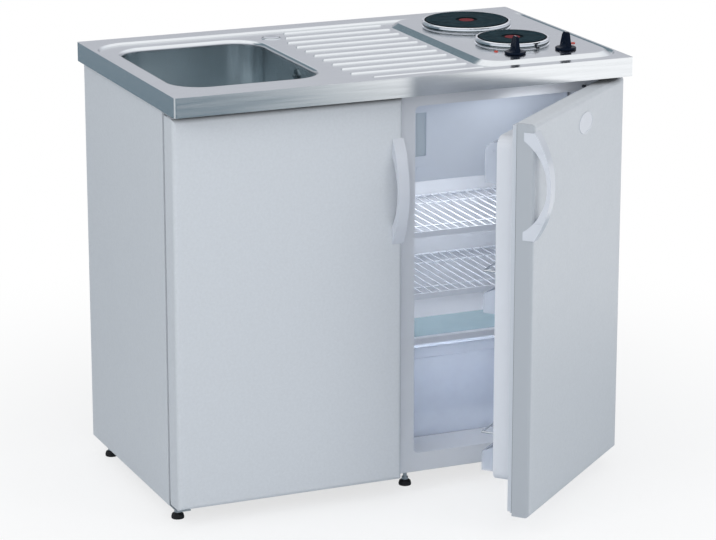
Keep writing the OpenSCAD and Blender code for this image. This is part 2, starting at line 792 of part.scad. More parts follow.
module sink_door_filling() color([0.85, 0.8, 0.68])
  box(cab_x0 + 14, sd_x1 - door_r - 2, door_y0 + skin_t, frame_y - 1.2, door_z0 + door_re,
    door_z1 - door_re);

module sink_door_handle() color([0.93, 0.94, 0.96]) door_grip(sd_x1, -1, grip_z_sink);

module sink_door_bushes() color([0.9, 0.9, 0.9]) door_bushes(pivot_xl, -1);

module sink_door_buffers() color([0.75, 0.76, 0.78])
  for (z = [door_z0 + 60, door_z1 - 60])
    rod_y(sd_x1 - 14, frame_y, cab_y0 - 0.3, z, 5);

module hinge_bracket(px, side, yb0)
  for (e = [[door_z1, 1], [door_z0, -1]])
    translate([px, 0, e[0]])
      scale([side, 1, e[1]])
        difference() {
          union() {
            box(-24, 5, pivot_y - 9, yb0, 3, 6);
            box(-46, 5, yb0 - 3, yb0, -3 * (1 - e[1]) / 2 + 3 * (1 + e[1]) / 2, 9 - 3 * (1 - e[1]) / 2);
          }
          rod_z(0, pivot_y, 2, 7, pivot_d / 2 + 0.4);
        }

module hinge_brackets() color([0.75, 0.76, 0.78]) {
  hinge_bracket(pivot_xl, -1, cab_y0);
  hinge_bracket(pivot_xr, 1, frame_y);
}

module hinge_pins() color([0.7, 0.71, 0.73])
  for (px = [pivot_xl, pivot_xr], e = [[door_z1, 1], [door_z0, -1]])
    translate([px, pivot_y, e[0]])
      scale([1, 1, e[1]]) {
        rod_z(0, 0, -11, 7, pivot_d / 2);
        rod_z(0, 0, 6, 7.5, pivot_d / 2 + 1.8);
      }

// ---- refrigerator cabinet ----

module fridge_case() color([0.84, 0.86, 0.89]) {
  x0 = split_x;
  x1 = cab_x1;
  difference() {
    box(x0, x1, frame_y, case_y1, foot_h, core_z);
    along_x(x0 + 1, x1 - 1, [[frame_y - 1, foot_h + 1], [machine_y0 - 1, foot_h + 1],
      [machine_y0 - 1, machine_z1 + 1], [case_y1 - 1, machine_z1 + 1], [case_y1 - 1, core_z - 1],
      [frame_y - 1, core_z - 1]]);
    box(x0 + 1, x1 - 1, machine_y0, case_y1 + 1, foot_h + 1, machine_z1);
  }
}

module fridge_foam() color([0.93, 0.88, 0.7])
  difference() {
    along_x(split_x + 1, cab_x1 - 1, [[frame_y + liner_t, foot_h + 1], [machine_y0 - 1, foot_h + 1],
      [machine_y0 - 1, machine_z1 + 1], [case_y1 - 1, machine_z1 + 1], [case_y1 - 1, core_z - 1],
      [frame_y + liner_t, core_z - 1]]);
    liner_block();
    rod_y(op_x1 - 16, frame_y, frame_y + 12, op_z1 + 9, 4.2);
  }

// outside of the moulded liner behind its front face
module liner_block() {
  t = liner_t;
  along_x(op_x0 - t, op_x1 + t, [[frame_y, op_z0 - t], [step_y + t, op_z0 - t], [step_y + t, step_z - t],
    [cav_y1 + t, step_z - t], [cav_y1 + t, op_z1 + t], [frame_y, op_z1 + t]]);
}

module fridge_liner() color([0.93, 0.94, 0.96]) {
  difference() {
    union() {
      liner_block();
      box(split_x + 1, cab_x1 - 1, frame_y, frame_y + liner_t, foot_h + 1, core_z - 1);
    }
    lying(op_x0, op_x1, frame_y - 1, step_y, op_z0, op_z1, cav_r);
    lying(op_x0, op_x1, step_y - 1, cav_y1, step_z, op_z1, cav_r);
    rod_y(op_x1 - 16, frame_y - 1, frame_y + liner_t + 1, op_z1 + 9, 3.55);
  }
  // ledges for the two wire shelves and the glass one
  for (z = [shelf_hi - 5, shelf_lo - 5])
    for (x = [op_x0 - 0.5, op_x1 - 6.5])
      box(x, x + 7, shelf_y0 + 3.3, cav_y1 - 6, z - 7, z);
  for (x = [op_x0 - 0.5, op_x1 - 6.5])
    box(x, x + 7, shelf_y0 + 2, step_y, step_z - 8, step_z - 1);
}

module freezer_box() color([0.86, 0.88, 0.91]) {
  x0 = op_x0 + 14;
  x1 = op_x1 - 14;
  y0 = flap_y0 + flap_t + 6;
  z0 = flap_z0 - 2;
  difference() {
    box(x0, x1, y0, cav_y1 - 15, z0, op_z1);
    box(x0 + 2, x1 - 2, y0 - 1, cav_y1 - 17, z0 + 2, op_z1 - 2);
  }
  for (z = [z0 - 2, flap_z1 + 2])
    box(flap_px - 12, flap_px + 5, flap_y0 - 1, y0 + 6, z, z + 2);
  box(x1 - 30, x1, y0, y0 + 6, z0 - 2, z0 + 1);
  rod_z(flap_px, flap_py, z0 - 1, flap_z0 + 10, 2);
  rod_z(flap_px, flap_py, flap_z1 - 10, flap_z1 + 3, 2);
}

module freezer_flap() color([0.8, 0.85, 0.92]) {
  difference() {
    box(flap_x0, flap_x1, flap_y0, flap_y0 + flap_t, flap_z0, flap_z1);
    rod_z(flap_px, flap_py, flap_z0 - 1, flap_z0 + 12, 2 + fit);
    rod_z(flap_px, flap_py, flap_z1 - 12, flap_z1 + 1, 2 + fit);
    box(flap_x0 + 36, flap_x0 + 60, flap_y0 - 1, flap_y0 + 4.5, flap_z0 + 54, flap_z0 + 146);
    box(flap_x0 + 32, flap_x0 + 36.5, flap_y0 + 2, flap_y0 + 4.5, flap_z0 + 60, flap_z0 + 140);
  }
  lying(flap_x0 + 38, flap_x0 + 68, flap_y0 - 1.2, flap_y0 + 1, flap_z0 + 24, flap_z0 + 32, 3.9);
}

// wire shelf: two side bars, round wires front to back, two cross wires and a flat front strip
module wire_shelf(z) {
  x0 = op_x0 + 2;
  x1 = op_x1 - 2;
  y0 = shelf_y0;
  y1 = cav_y1 - 5;
  r = wire_d / 2;
  for (x = [x0, x1 - 5])
    box(x, x + 5, y0 + 2, y1, z - 5, z);
  for (i = [1:wire_count])
    rod_y(x0 + (x1 - x0) * i / (wire_count + 1), y0 + 1, y1 - 2, z - r, r);
  for (y = [y0 + 60, y1 - 60])
    rod_x(x0 + 4.8, x1 - 4.8, y, z - 3.2 * r, 1.3 * r);
  rod_x(x0 + 2, x1 - 2, y1 - 2, z - 2.5, 2.5);
  box(x0, x1, y0, y0 + 3, z - 11, z + 1);
}

module wire_shelves() color([0.95, 0.95, 0.96])
  for (z = [shelf_hi, shelf_lo])
    wire_shelf(z);

module glass_shelf() color([0.72, 0.86, 0.86])
  box(op_x0 + 2, op_x1 - 2, shelf_y0 + 2, step_y - 1, step_z - 1, step_z + 3);

module glass_shelf_trim() color([0.95, 0.95, 0.97])
  difference() {
    box(op_x0 + 2, op_x1 - 2, shelf_y0, shelf_y0 + 14, step_z - 6, step_z + 7);
    box(op_x0 + 1, op_x1 - 1, shelf_y0 + 2, shelf_y0 + 15, step_z - 1, step_z + 3);
    for (x = [op_x0 - 1, op_x1 - 9])
      box(x, x + 10, shelf_y0 + 2, shelf_y0 + 15, step_z - 9, step_z);
  }

module crisper() color([0.86, 0.89, 0.93]) {
  x0 = op_x0 + 12;
  x1 = op_x1 - 12;
  y0 = shelf_y0 + 5;
  y1 = step_y - 4;
  z1 = op_z0 + crisper_h;
  t = crisper_t;
  difference() {
    union() {
      upright(x0, x1, y0, y1, op_z0, z1, 14);
      upright(x0 - 4, x1 + 4, y0 - 4, y1 + 3, z1 - 3, z1, 16);
      box(x0 + 16, x1 - 16, y0 - 1.5, y0 + 1, z1 - 26, z1 - 23);
    }
    upright(x0 + t, x1 - t, y0 + t, y1 - t, op_z0 + t, z1 + 1, 14 - t);
  }
}

module thermostat_box() color([0.94, 0.95, 0.97])
  difference() {
    lying(thermo_x, op_x1, thermo_y, thermo_y + thermo_l, thermo_z, thermo_z + thermo_h, 8);
    box(thermo_x + 3, op_x1 + 1, thermo_y + 2, thermo_y + thermo_l - 2,
      thermo_z + 2, thermo_z + thermo_h - 2);
    rod_x(thermo_x - 1, thermo_x + 4, dial_y, dial_z, shaft_d / 2 + fit);
  }

module thermostat_knob() color([0.96, 0.96, 0.97])
  translate([thermo_x - 1, dial_y, dial_z])
    rotate([0, -90, 0]) {
      cylinder(d = dial_d, h = 9);
      translate([0, 0, -9])
        cylinder(r = shaft_d / 2, h = 10);
      box(1 - dial_d / 2, dial_d / 2 - 1, -3, 3, 8, 16);
    }

module lamp_cover() color([0.97, 0.97, 0.95])
  box(thermo_x - 3, thermo_x, thermo_y + 58, thermo_y + thermo_l - 8,
    thermo_z + 10, thermo_z + thermo_h - 10);

module lamp_switch_button() color([0.1, 0.1, 0.1])
  rod_y(op_x1 - 16, frame_y - 9, frame_y + liner_t - 0.2, op_z1 + 9, 3.5);

// ---- refrigerator door ----

module fridge_door_skin() color([0.8, 0.82, 0.86])
  door_swing()
    door_skin(fd_x0, cab_x1, shell_y1, pivot_xr);

module fridge_door_foam() color([0.93, 0.88, 0.7])
  door_swing()
    box(fd_x0 + door_r + 2, cab_x1 - 12, door_y0 + skin_t, plate_y1 - 2, door_z0 + door_re,
      door_z1 - door_re);

module fridge_door_liner() color([0.93, 0.94, 0.96])
  door_swing() {
    box(fd_x0 + skin_t, cab_x1 - skin_t, plate_y1 - 2, plate_y1, door_z0 + skin_t, door_z1 - skin_t);
    difference() {
      lying(dk_x0, dk_x1, plate_y1 - 1, dk_y1, dk_z0, dk_z1, 22);
      box(rk_x0, rk_x1, plate_y1 - 3, dk_y1 + 1, dk_z0 + dyke_w, dk_z1 - dyke_w);
    }
  }

module fridge_door_gasket() color([0.86, 0.87, 0.89])
  door_swing()
    difference() {
      union() {
        box(fd_x0 + 4, cab_x1 - 10, plate_y1, plate_y1 + 5, door_z0 + 5, door_z1 - 4);
        box(fd_x0 + 6, cab_x1 - 12, plate_y1 + 5, frame_y - 0.3, door_z0 + 7, door_z1 - 6);
      }
      box(fd_x0 + 15, cab_x1 - 21, plate_y1 - 1, frame_y + 1, door_z0 + 16, door_z1 - 15);
    }

module fridge_door_handle() color([0.93, 0.94, 0.96])
  door_swing()
    door_grip(fd_x0, 1, grip_z_fridge);

module fridge_door_bushes() color([0.9, 0.9, 0.9])
  door_swing()
    door_bushes(pivot_xr, 1);

// plain oval plate with a raised border
module door_badge() color([0.85, 0.86, 0.89])
  door_swing()
    translate([fd_x0 + 273, door_y0, door_z1 - 52])
      rotate([90, 0, 0])
        difference() {
          linear_extrude(height = 1)
            oval(badge_w / 2, badge_h / 2);
          translate([0, 0, 0.5])
            linear_extrude(height = 1)
              oval(badge_w / 2 - 3, badge_h / 2 - 3);
        }

module oval(a, b)
  polygon([for (t = [0:7.5:352.5]) [a * cos(t), b * sin(t)]]);

// box with a clear flap at the top of the door liner
module dairy_box() color([0.9, 0.93, 0.96])
  door_swing()
    difference() {
      union() {
        box(rk_x0, rk_x1, plate_y1, rk_y1, dairy_z0, dairy_z0 + 3);
        box(rk_x0, rk_x1, rk_y1 - 3, rk_y1, dairy_z0, dairy_z0 + 36);
        for (x = [rk_x0, rk_x1 - 3]) {
          box(x, x + 3, plate_y1, rk_y1 - 20, dairy_z0, dairy_z1);
          box(x, x + 3, plate_y1, rk_y1, dairy_z0, dairy_z1 - 20);
          rod_x(x, x + 3, rk_y1 - 20, dairy_z1 - 20, 20);
        }
      }
      for (x = [rk_x0 - 1, rk_x1 - 4])
        rod_x(x, x + 5, lid_py, lid_pz - 8, 2.5 + fit);
    }

module dairy_lid() color([0.86, 0.92, 0.96])
  door_swing() {
    x0 = rk_x0 + 4;
    x1 = rk_x1 - 4;
    y = rk_y1 - 20;
    z = dairy_z1 - 20;
    difference() {
      union() {
        intersection() {
          rod_x(x0, x1, y, z, 19.5);
          box(x0, x1, y, y + 20, z, z + 20);
        }
        box(x0, x1, y + 15, y + 19.5, dairy_z0 + 37, z);
        box(x0, x1, y - 14, y, z + 17.5, z + 19.5);
      }
      rod_x(x0 + 2, x1 - 2, y, z, 17.5);
      box(x0 + 2, x1 - 2, y - 15, y + 17.5, dairy_z0 + 36, z);
      box(x0 - 1, x1 + 1, y + 14, y + 17.5, dairy_z0 + 36, z - 12);
    }
    for (x = [x0 - 3, x1 - 2])
      rod_x(x, x + 5, lid_py, lid_pz - 8, 2.5);
    for (x = [x0, x1 - 2])
      box(x, x + 2, lid_py - 5, lid_py + 5, lid_pz - 13, z + 18);
  }

// open racks for bottles and jars
module bottle_rack(z0, h) {
  box(rk_x0, rk_x1, plate_y1, rk_y1, z0, z0 + 3);
  box(rk_x0, rk_x1, rk_y1 - 3, rk_y1, z0, z0 + h);
  for (x = [rk_x0, rk_x1 - 3])
    along_x(x, x + 3, [[plate_y1, z0], [rk_y1, z0], [rk_y1, z0 + h], [dk_y1, z0 + h + 14],
      [plate_y1, z0 + h + 14]]);
}

module bottle_racks() color([0.9, 0.93, 0.96])
  door_swing() {
    bottle_rack(shelf_lo + 44, 40);
    bottle_rack(dk_z0 + dyke_w, 40);
  }

module rack_rails() color([0.85, 0.86, 0.88])
  door_swing()
    for (z = [shelf_lo + 134, dk_z0 + dyke_w + 84]) {
      for (x = [dk_x0 + 7, dk_x1 - 7]) {
        rod_y(x, dk_y1, rk_y1 - 3, z, 2);
        translate([x, rk_y1 - 3, z])
          sphere(r = 2);
      }
      rod_x(dk_x0 + 7, dk_x1 - 7, rk_y1 - 3, z, 2);
    }

// ---- cooling unit and feet ----

module compressor() color([0.1, 0.1, 0.11]) {
  x = cab_x1 - 180;
  y = (machine_y0 + case_y1) / 2;
  z = foot_h + 1;
  translate([x, y, z]) {
    translate([0, 0, 12])
      rotate_extrude()
        polygon([[0, 0], [60, 0], [68, 10], [68, 60], [70, 60], [70, 66], [68, 66], [66, 96],
          [52, 116], [28, 124], [0, 124]]);
    box(-78, 78, -55, 55, 8, 12.5);
    for (a = [-66, 66], b = [-44, 44])
      rod_z(a, b, 0, 9, 9);
  }
}

module condenser() color([0.12, 0.12, 0.13]) {
  n = 8;
  x0 = split_x + 70;
  x1 = cab_x1 - 70;
  y = case_y1 + 9;
  z0 = machine_z1 + 60;
  z1 = core_z - 70;
  p = (z1 - z0) / (n - 1);
  for (i = [0:n - 1])
    rod_x(x0, x1, y, z0 + i * p, 2.5);
  for (i = [0:n - 2])
    translate([i % 2 == 0 ? x1 : x0, y, z0 + (i + 0.5) * p])
      rotate([90, 0, 0])
        rotate([0, 0, i % 2 == 0 ? -90 : 90])
          rotate_extrude(angle = 180)
            translate([p / 2, 0])
              circle(r = 2.5);
  for (k = [0:11])
    rod_z(x0 + 12 + k * (x1 - x0 - 24) / 11, y + 3, z0 - 20, z1 + 20, 0.9);
  for (x = [x0 + 30, x1 - 30], z = [z0 + 4 * p, z0 + 2 * p])
    box(x - 8, x + 8, case_y1, y + 1, z - 3, z + 3);
}

module foot_pads() color([0.07, 0.07, 0.08])
  for (x = foot_x, y = [foot_y0, foot_y1])
    translate([x, y, 0])
      rotate_extrude()
        polygon([[0, 0], [13, 0], [13.5, 3], [12, 9], [8, 12], [4.4, 12], [4.4, 4], [0, 4]]);

module foot_rods() color([0.6, 0.61, 0.62])
  for (x = foot_x, y = [foot_y0, foot_y1]) {
    rod_z(x, y, 4, foot_h, 4);
    rod_z(x, y, foot_h - 3, foot_h, 9);
    translate([x, y, 12.5])
      cylinder(r = 7.5, h = 5, $fn = 6);
  }

worktop();
worktop_core();
bowl();
overflow_rosette();
overflow_pipe();
drain_flange();
sink_plug();
drain_body();
waste_trap();
tap_hole_cap();
hotplate_rear();
hotplate_front();
hotplate_rings();
hotplate_dots();
hotplate_clamps();
hob_tray();
hob_switches();
hob_knob_left();
hob_knob_right();
pilot_lamps();
cabinet_side_left();
cabinet_side_right();
cabinet_floor();
cabinet_rails();
sink_door_skin();
sink_door_back();
sink_door_filling();
sink_door_handle();
sink_door_bushes();
sink_door_buffers();
hinge_brackets();
hinge_pins();
fridge_case();
fridge_foam();
fridge_liner();
fridge_door_skin();
fridge_door_foam();
fridge_door_liner();
fridge_door_gasket();
fridge_door_handle();
fridge_door_bushes();
door_badge();
dairy_box();
dairy_lid();
bottle_racks();
rack_rails();
freezer_box();
freezer_flap();
wire_shelves();
glass_shelf();
glass_shelf_trim();
crisper();
thermostat_box();
thermostat_knob();
lamp_cover();
lamp_switch_button();
compressor();
condenser();
foot_pads();
foot_rods();
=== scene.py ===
"""Looks of the kitchenette unit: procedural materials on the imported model, floor, light, camera."""

import math

import bpy
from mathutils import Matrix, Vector


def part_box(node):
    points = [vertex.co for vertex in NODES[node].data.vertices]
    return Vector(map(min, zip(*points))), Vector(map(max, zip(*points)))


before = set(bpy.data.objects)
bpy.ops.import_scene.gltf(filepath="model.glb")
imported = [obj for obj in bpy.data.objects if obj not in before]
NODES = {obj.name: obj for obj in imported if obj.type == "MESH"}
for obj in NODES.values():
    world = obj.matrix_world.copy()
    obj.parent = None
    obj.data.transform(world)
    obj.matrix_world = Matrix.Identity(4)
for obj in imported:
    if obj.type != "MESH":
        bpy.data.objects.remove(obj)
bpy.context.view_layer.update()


# ---------------------------------------------------------------- values, in metres unless noted
def srgb(red, green, blue):
    """8-bit display values to a linear colour."""
    out = []
    for v in (red, green, blue):
        v /= 255
        out.append(v / 12.92 if v <= 0.04045 else ((v + 0.055) / 1.055) ** 2.4)
    return (*out, 1.0)


GREY_WHITE = srgb(203, 208, 214)
EDGE_GREY = srgb(174, 180, 187)
LINER_WHITE = srgb(220, 224, 231)
CLEAR_BLUE = srgb(214, 222, 236)
KNOB_BLACK = srgb(14, 24, 40)
INDEX_WHITE = srgb(226, 228, 232)
IRON = srgb(26, 48, 56)
RIM_DARK_WELL_SHADE = srgb(12, 22, 27)
SEAL_WHITE = srgb(198, 204, 212)
SEAL_GROOVE_SHADE = srgb(84, 90, 98)
FLAP_WHITE = srgb(230, 238, 250)
RECESS_SHADE_GREY = srgb(200, 212, 222)
CAP_STEEL = (0.62, 0.65, 0.68, 1)
SEAM_AND_REFLECTION_BLACK = (0.03, 0.04, 0.05, 1)
GROOVE_REFLECTION_BLACK = (0.07, 0.09, 0.1, 1)

# fades of the markings: the distance where each begins, and the one where it is full
RIM_FADE = (0.004, 0.002)  # dark rim, inwards from a hotplate's edge
WELL_FADE = (0.026, 0.022)  # painted shade in the middle well, from a hotplate's axis
EDGE_FADE = (0.006, 0.002)  # grey edges of the refrigerator door, inwards from each
SEAL_SHADE_FADE = (0.0025, 0.0015)  # painted shadow of the groove at that door's seal, from the seal's front
# other sizes in the materials
TURNED_PITCH = 0.0026  # between the turned rings of a hotplate
GROOVE = (0.0022, 0.0054)  # lower and upper edge of the rings' groove, above their foot, where the dark reflection is painted
CAP_SEAM = 0.0185  # radius of the dark seam on the plate over the tap hole, painted dark enough to stand for its dark reflections too
SEAM_FADE = (0.0006, 0.0014)  # half widths of that seam: all dark, and faded out

# two corners each: the index line from the middle of a knob's top, the finger recess from the
# flap's lower left front corner
INDEX_LINE = ((-0.0008, -0.003, -0.014), (0.0008, 0.1, 0.1))
RECESS = ((0.036, 0.0016, 0.054), (0.06, 0.02, 0.146))

# the refrigerator door's own directions where it stands open
DOOR_TURN = math.radians(41.3)
DOOR_ALONG = Vector((math.cos(DOOR_TURN), math.sin(DOOR_TURN), 0))
DOOR_THROUGH = Vector((-math.sin(DOOR_TURN), math.cos(DOOR_TURN), 0))

FLOOR_SIZE = 60
# how far from the origin the floor's shadow starts to fade and is gone, and how much of the
# floor nearer than that is glow, which takes no shadow
SHADOW_FADE = (0.3, 1.7)
FLOOR_GLOW = 0.7
# what the metal mirrors of the floor: place on the ramp, red, green, blue
FLOOR_MIRRORED = (0.0, 0.19, 0.26, 0.31)
CARD_MIRRORED = (1.0, 1.3, 1.3, 1.3)
# its white cards, right and left: the X where each begins and where it is full, and for the
# left one its least and its full share
CARDS = ((1.32, 1.52), (-2.2, -2.7, 0.0, 0.5))
# the studio that metal and glass see: sine of the elevation, red, green, blue
STUDIO = (
    (0.0, 0.2, 0.22, 0.24),
    (0.1, 0.34, 0.36, 0.4),
    (0.2, 0.62, 0.63, 0.68),
    (0.32, 0.74, 0.76, 0.81),
    (0.5, 1.02, 1.05, 1.09),
    (0.8, 1.18, 1.19, 1.2),
)
# a dark flag in it, behind the unit to the left: an axis of the direction, where the flag
# begins along it and where it is full
FLAG = (0.2, 0.27, 0.31, 1)
FLAG_EDGES = (("X", 0.24, 0.06), ("Y", 0.1, 0.3), ("Z", 0.75, 0.55), ("Z", 0.2, 0.32))
# the even light on everything else
SOFT_LIGHT = (0.98, 0.99, 1.0, 1)
SOFT_STRENGTH = 0.65
# name, place, target, size, power in watts
LAMPS = (
    ("key_left", (-3.0, -1.7, 2.8), (-0.4, -0.2, 0.6), (1.6, 1.6), 26),
    ("key_right", (2.0, -3.2, 2.6), (0.3, -0.3, 0.6), (1.6, 1.6), 21),
    ("front", (-0.9, -2.6, 1.3), (0.25, 0, 0.5), (0.8, 0.8), 8.5),
    ("fridge_lamp", (0.24, -0.02, 0.62), (0.24, -0.03, 0.2), (0.34, 0.2), 0.7),
    ("flap_fill", (0.31, -0.25, 0.79), (0.33, -0.12, 0.77), (0.14, 0.04), 0.05),
    ("crisper_fill", (0.246, -0.05, 0.25), (0.246, -0.05, 0.1), (0.3, 0.03), 0.45),
)

# the photo's view, with a pitch in place of its lens shift
PHOTO_WIDTH = 716  # pixels
FOCAL_PIXELS = 3015.5
SENSOR_WIDTH = 36  # mm
CAMERA_PLACE = (-2.4169, -5.6545, 2.1591)
CAMERA_YAW = 0.406  # radians, to the right of straight back
CAMERA_PITCH = -0.275  # radians, downwards
CAMERA_CLIP = (0.05, 100)


# ---------------------------------------------------------------- shader building blocks
def add_node(tree, kind, **values):
    made = tree.nodes.new(kind)
    for key, value in values.items():
        setattr(made, key, value)
    return made


def scaled(color, k):
    """A lighter or darker tone of a colour."""
    return (*(min(1.0, c * k) for c in color[:3]), 1.0)


class Look:
    """A procedural material: one Principled shader, fed by fields over the object's own space."""

    def __init__(self, name, color, roughness, metallic=0.0, **sockets):
        self.material = bpy.data.materials.new(name)
        self.material.use_nodes = True
        self.tree = self.material.node_tree
        self.shader = self.tree.nodes["Principled BSDF"]
        self.coord = self.node("ShaderNodeTexCoord").outputs["Object"]
        self.color, self.normal = color, None
        self.set("Base Color", color)
        self.set("Roughness", roughness)
        self.set("Metallic", metallic)
        for key, value in sockets.items():
            self.set(key.replace("_", " "), value)

    def node(self, kind, **values):
        return add_node(self.tree, kind, **values)

    def link(self, a, b):
        self.tree.links.new(a, b)

    def set(self, socket, value):
        self.shader.inputs[socket].default_value = value

    def noise(self, scale, detail=2.0, stretch=(1, 1, 1), rough=0.5):
        place = self.node("ShaderNodeMapping")
        place.inputs["Scale"].default_value = stretch
        self.link(self.coord, place.inputs["Vector"])
        made = self.node("ShaderNodeTexNoise")
        made.inputs["Scale"].default_value = scale
        made.inputs["Detail"].default_value = detail
        made.inputs["Roughness"].default_value = rough
        self.link(place.outputs["Vector"], made.inputs["Vector"])
        return made.outputs["Fac"]

    def span(self, field, low, high, start=0.3, end=0.7):
        """From low to high, while the field goes from start to end."""
        made = self.node("ShaderNodeMapRange")
        edges = {"From Min": start, "From Max": end, "To Min": low, "To Max": high}
        for key, value in edges.items():
            made.inputs[key].default_value = value
        self.link(field, made.inputs["Value"])
        return made.outputs["Result"]

    def math(self, operation, *values):
        """A calculation on numbers and fields."""
        made = self.node("ShaderNodeMath", operation=operation)
        for socket, value in zip(made.inputs, values):
            if isinstance(value, (int, float)):
                socket.default_value = value
            else:
                self.link(value, socket)
        return made.outputs["Value"]

    def tint(self, field, low, high, start=0.3, end=0.7):
        """Base colour between two factors or colours, by a field."""
        mix = self.node("ShaderNodeMix", data_type="RGBA")
        self.link(self.span(field, 0.0, 1.0, start, end), mix.inputs["Factor"])
        for socket, value in (("A", low), ("B", high)):
            color = scaled(self.color, value) if isinstance(value, (int, float)) else value
            mix.inputs[socket].default_value = color
        self.link(mix.outputs["Result"], self.shader.inputs["Base Color"])

    def cover(self, field, color, start=0, end=1):
        """A marking over the base colour: none where the field is at start, full at end."""
        base = self.shader.inputs["Base Color"]
        mix = self.node("ShaderNodeMix", data_type="RGBA")
        self.link(self.span(field, 0.0, 1.0, start, end), mix.inputs["Factor"])
        self.link(base.links[0].from_socket, mix.inputs["A"])
        mix.inputs["B"].default_value = color
        self.link(mix.outputs["Result"], base)

    def gloss(self, field, low, high):
        """Roughness between two values, by a field."""
        self.link(self.span(field, low, high), self.shader.inputs["Roughness"])

    def bump(self, field, strength, distance):
        """Relief by a field, on top of the relief that is there."""
        made = self.node("ShaderNodeBump")
        made.inputs["Strength"].default_value = strength
        made.inputs["Distance"].default_value = distance
        self.link(field, made.inputs["Height"])
        if self.normal is not None:
            self.link(self.normal, made.inputs["Normal"])
        self.normal = made.outputs["Normal"]
        self.link(self.normal, self.shader.inputs["Normal"])

    def radius_from(self, x, y):
        """Distance from an upright axis."""
        flat = self.node("ShaderNodeVectorMath", operation="MULTIPLY")
        flat.inputs[1].default_value = (1, 1, 0)
        self.link(self.coord, flat.inputs[0])
        far = self.node("ShaderNodeVectorMath", operation="DISTANCE")
        far.inputs[1].default_value = (x, y, 0)
        self.link(flat.outputs["Vector"], far.inputs[0])
        return far.outputs["Value"]

    def along(self, direction):
        """Distance along a direction from the origin."""
        made = self.node("ShaderNodeVectorMath", operation="DOT_PRODUCT")
        made.inputs[1].default_value = direction
        self.link(self.coord, made.inputs[0])
        return made.outputs["Value"]

    def inside(self, point, low, high):
        """1 within the box between two corners, else 0."""
        split = self.node("ShaderNodeSeparateXYZ")
        self.link(point, split.inputs["Vector"])
        parts = []
        for axis, a, b in zip("XYZ", low, high):
            off = self.math("SUBTRACT", split.outputs[axis], (a + b) / 2)
            parts.append(self.math("LESS_THAN", self.math("ABSOLUTE", off), (b - a) / 2))
        return self.math("MULTIPLY", self.math("MULTIPLY", parts[0], parts[1]), parts[2])


def axis_of(node):
    """X and Y of the middle of a node's box."""
    low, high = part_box(node)
    return [(a + b) / 2 for a, b in zip(low[:2], high[:2])]


# ---------------------------------------------------------------- materials
def painted(name, color):
    """Powder-coated sheet with a fine orange-peel grain."""
    look = Look(name, color, 0.46, IOR=1.45)
    look.tint(look.noise(170, 4, rough=0.7), 0.965, 1.03)
    look.gloss(look.noise(40, 3), 0.42, 0.5)
    look.bump(look.noise(650, 3, rough=0.6), strength=0.16, distance=0.0003)
    return look


def door_paint(name, node):
    """Painted door, in a darker grey along its upright edges."""
    look = painted(name, GREY_WHITE)
    places = [v.co.dot(DOOR_ALONG) for v in NODES[node].data.vertices]
    across = look.along(DOOR_ALONG)
    look.cover(across, EDGE_GREY, *(min(places) + fade for fade in EDGE_FADE))
    look.cover(across, EDGE_GREY, *(max(places) - fade for fade in EDGE_FADE))
    return look


def moulded(name, color, roughness, grain, **sockets):
    """Moulded plastic: even colour, faint flow variation, fine grain."""
    look = Look(name, color, roughness, IOR=1.49, **sockets)
    look.tint(look.noise(14), 0.985, 1.012)
    look.gloss(look.noise(25), roughness * 0.95, roughness * 1.05)
    look.bump(look.noise(700), strength=grain, distance=0.00015)
    return look


def black(name, **sockets):
    return moulded(name, KNOB_BLACK, 0.24, 0.04, **sockets)


def knob(name, node, turn):
    """Black knob with a white index line along its grip, which is turned by so many degrees."""
    look = black(name, Specular_IOR_Level=0.06)
    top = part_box(node)[1][2]
    place = look.node("ShaderNodeMapping", vector_type="TEXTURE")
    place.inputs["Location"].default_value = (*axis_of(node), top)
    place.inputs["Rotation"].default_value = (0, 0, math.radians(turn))
    look.link(look.coord, place.inputs["Vector"])
    look.cover(look.inside(place.outputs["Vector"], *INDEX_LINE), INDEX_WHITE)
    return look


def seal(name, node):
    """White rubber seal with a painted shadow of its groove against the door's sheet."""
    look = moulded(name, SEAL_WHITE, 0.55, 0.2)
    front = min(v.co.dot(DOOR_THROUGH) for v in NODES[node].data.vertices)
    # painted shadow of the groove, along the seal's front
    look.cover(look.along(DOOR_THROUGH), SEAL_GROOVE_SHADE, *(front + fade for fade in SEAL_SHADE_FADE))
    return look


def flap(name, node):
    """Freezer flap with painted shade in its finger recess."""
    look = moulded(name, FLAP_WHITE, 0.34, 0.03)
    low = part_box(node)[0]
    recess = [[a + b for a, b in zip(low, corner)] for corner in RECESS]
    # painted shade in the finger recess
    look.cover(look.inside(look.coord, *recess), RECESS_SHADE_GREY)
    return look


def clear(name, color, roughness, alpha):
    """Clear moulded plastic or glass with a faint frost."""
    look = Look(name, color, roughness, IOR=1.49, Alpha=alpha)
    look.tint(look.noise(30), 0.97, 1.03)
    look.gloss(look.noise(80, 3), roughness * 0.8, roughness * 1.3)
    look.bump(look.noise(260), strength=0.12, distance=0.0004)
    return look


def steel(name, color, gloss, stretch, grain, detail, mottle):
    """Stainless steel with a fine rolled grain along one direction."""
    look = Look(name, color, 0.2, 1.0)
    streaks = look.noise(60, detail, stretch, rough=0.6)
    look.tint(streaks, 1 - mottle, 1 + mottle * 0.6)
    look.gloss(look.noise(35, detail, stretch), *gloss)
    look.bump(streaks, grain, distance=0.0001)
    look.bump(look.noise(5, 1), strength=0.008, distance=0.003)
    return look


